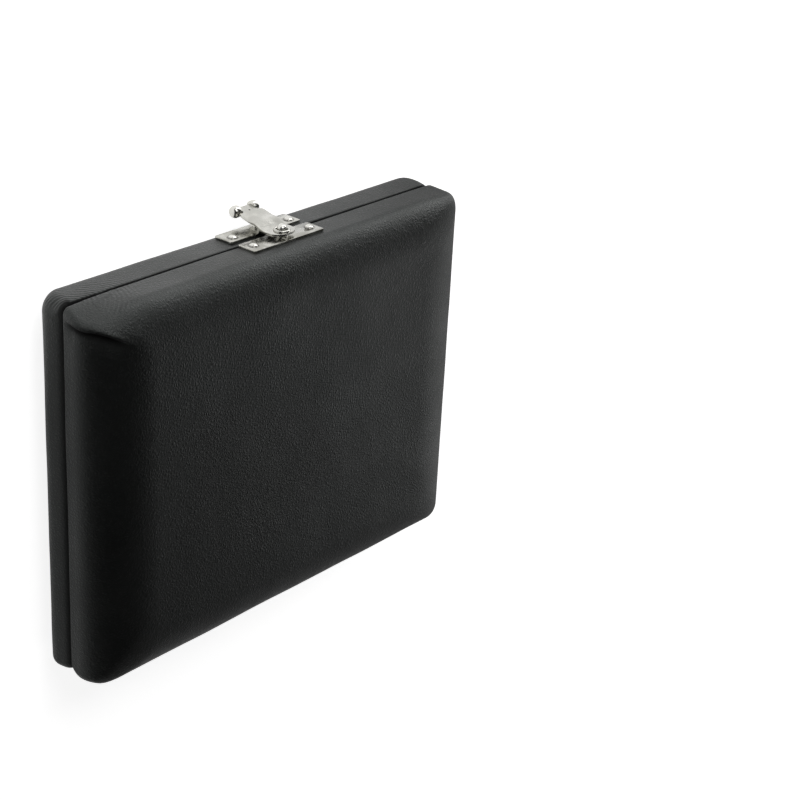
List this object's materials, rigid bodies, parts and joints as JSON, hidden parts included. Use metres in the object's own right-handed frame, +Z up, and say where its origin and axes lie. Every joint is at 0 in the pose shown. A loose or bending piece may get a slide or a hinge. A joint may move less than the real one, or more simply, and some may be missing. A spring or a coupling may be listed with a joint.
{
  "type": "oboe reed case",
  "caption": "Flat hinged case in pebbled black leather over wood, with a press latch on a ball stud, plush lining and a row of pegs that hold oboe reeds.",
  "frame": {"origin": "middle of the flat underside of the base, on the surface the closed case lies on", "axes": "+X along the spine and the latch wall (longest side), +Y from the latch towards the spine, +Z up through the base and then the lid (shortest side)"},
  "size_m": [0.13, 0.1043, 0.0268],
  "materials": {
    "black_leather": "pebbled, satin",
    "plush": "short pile",
    "poplar": "sawn, bare",
    "black_wood": "stained, satin",
    "beech": "turned, waxed",
    "brass": "satin",
    "nickel": "nickel plated, lightly brushed",
    "spring_steel": "drawn wire"
  },
  "bodies": {
    "base": {"base_tray": "poplar", "base_leather": "black_leather", "base_lining": "plush", "peg_rail": "black_wood", "reed_peg_01": "beech", "reed_peg_02": "beech", "reed_peg_03": "beech", "reed_peg_04": "beech", "reed_peg_05": "beech", "reed_peg_06": "beech", "reed_peg_07": "beech", "reed_peg_08": "beech", "reed_peg_09": "beech", "reed_peg_10": "beech", "latch_plate": "nickel", "latch_plate_nails": "nickel", "latch_pin": "nickel", "latch_spring": "spring_steel", "left_hinge_base_leaf": "brass", "right_hinge_base_leaf": "brass", "left_hinge_pin": "brass", "right_hinge_pin": "brass", "base_hinge_nails": "brass"},
    "lid": {"lid_tray": "poplar", "lid_leather": "black_leather", "lid_lining": "plush", "lid_cushion": "plush", "catch_plate": "nickel", "catch_plate_nails": "nickel", "catch_stud": "nickel", "left_hinge_lid_leaf": "brass", "right_hinge_lid_leaf": "brass", "lid_hinge_nails": "brass"},
    "lever": {"latch_lever": "nickel", "press_bar": "nickel"}
  },
  "joints": [
    {"name": "lid_hinge", "type": "hinge", "parent": "base", "child": "lid", "pos_m": [0, 0.0482, 0.0134], "axis": [-1, 0, 0], "range_deg": [0, 110]},
    {"name": "lever_pivot", "type": "hinge", "parent": "base", "child": "lever", "pos_m": [-0.0022, -0.05155, 0.0105], "axis": [1, 0, 0], "range_deg": [0, 26], "stiffness_Nm_per_rad": 0.003, "springref_deg": -22.92, "deforming": ["latch_spring"]}
  ]
}
